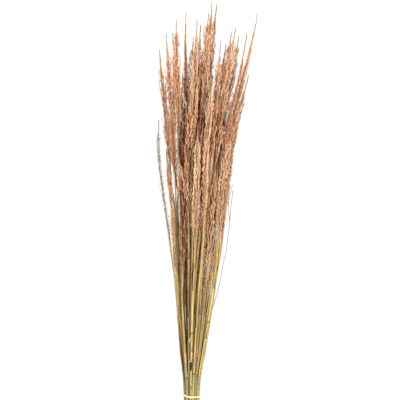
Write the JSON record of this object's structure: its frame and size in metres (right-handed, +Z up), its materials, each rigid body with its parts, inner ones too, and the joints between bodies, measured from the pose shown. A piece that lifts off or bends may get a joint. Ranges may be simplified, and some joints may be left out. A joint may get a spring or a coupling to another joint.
{
  "type": "bundle of dried bentgrass",
  "caption": "Tied bundle of dried bentgrass lying down: slender straw stems held by an elastic band near their cut ends, fanning out into long feathery copper seed heads.",
  "frame": {"origin": "on the surface that the bundle lies on, under the middle of its bounding box", "axes": "+Y along the stems from the cut ends to the seed heads, +X to the right of the bundle seen from above, +Z up"},
  "size_m": [0.177, 0.709, 0.0892],
  "materials": {
    "copper_grass": "matte",
    "tan_grass": "matte",
    "rust_grass": "matte",
    "straw_grass": "matte",
    "grey_green_grass": "matte",
    "elastic_band": "satin"
  },
  "bodies": {
    "root": {"stalk_01": "tan_grass", "stalk_02": "rust_grass", "stalk_03": "rust_grass", "stalk_04": "rust_grass", "stalk_05": "copper_grass", "stalk_06": "copper_grass", "stalk_07": "tan_grass", "stalk_08": "tan_grass", "stalk_09": "tan_grass", "stalk_10": "rust_grass", "stalk_11": "rust_grass", "stalk_12": "tan_grass", "stalk_13": "rust_grass", "stalk_14": "rust_grass", "stalk_15": "tan_grass", "stalk_16": "tan_grass", "stalk_17": "rust_grass", "stalk_18": "tan_grass", "stalk_19": "copper_grass", "stalk_20": "copper_grass", "stalk_21": "grey_green_grass", "stalk_22": "straw_grass", "stalk_23": "straw_grass", "stalk_24": "tan_grass", "stalk_25": "copper_grass", "stalk_26": "rust_grass", "stalk_27": "rust_grass", "stalk_28": "straw_grass", "stalk_29": "rust_grass", "stalk_30": "tan_grass", "stalk_31": "copper_grass", "stalk_32": "tan_grass", "stalk_33": "rust_grass", "stalk_34": "tan_grass", "stalk_35": "straw_grass", "stalk_36": "rust_grass", "stalk_37": "rust_grass", "stalk_38": "copper_grass", "stalk_39": "copper_grass", "stalk_40": "rust_grass", "stalk_41": "rust_grass", "stalk_42": "straw_grass", "stalk_43": "tan_grass", "stalk_44": "tan_grass", "stalk_45": "tan_grass", "stalk_46": "tan_grass", "stalk_47": "copper_grass", "stalk_48": "copper_grass", "stalk_49": "rust_grass", "stalk_50": "copper_grass", "tie": "elastic_band"}
  },
  "joints": []
}
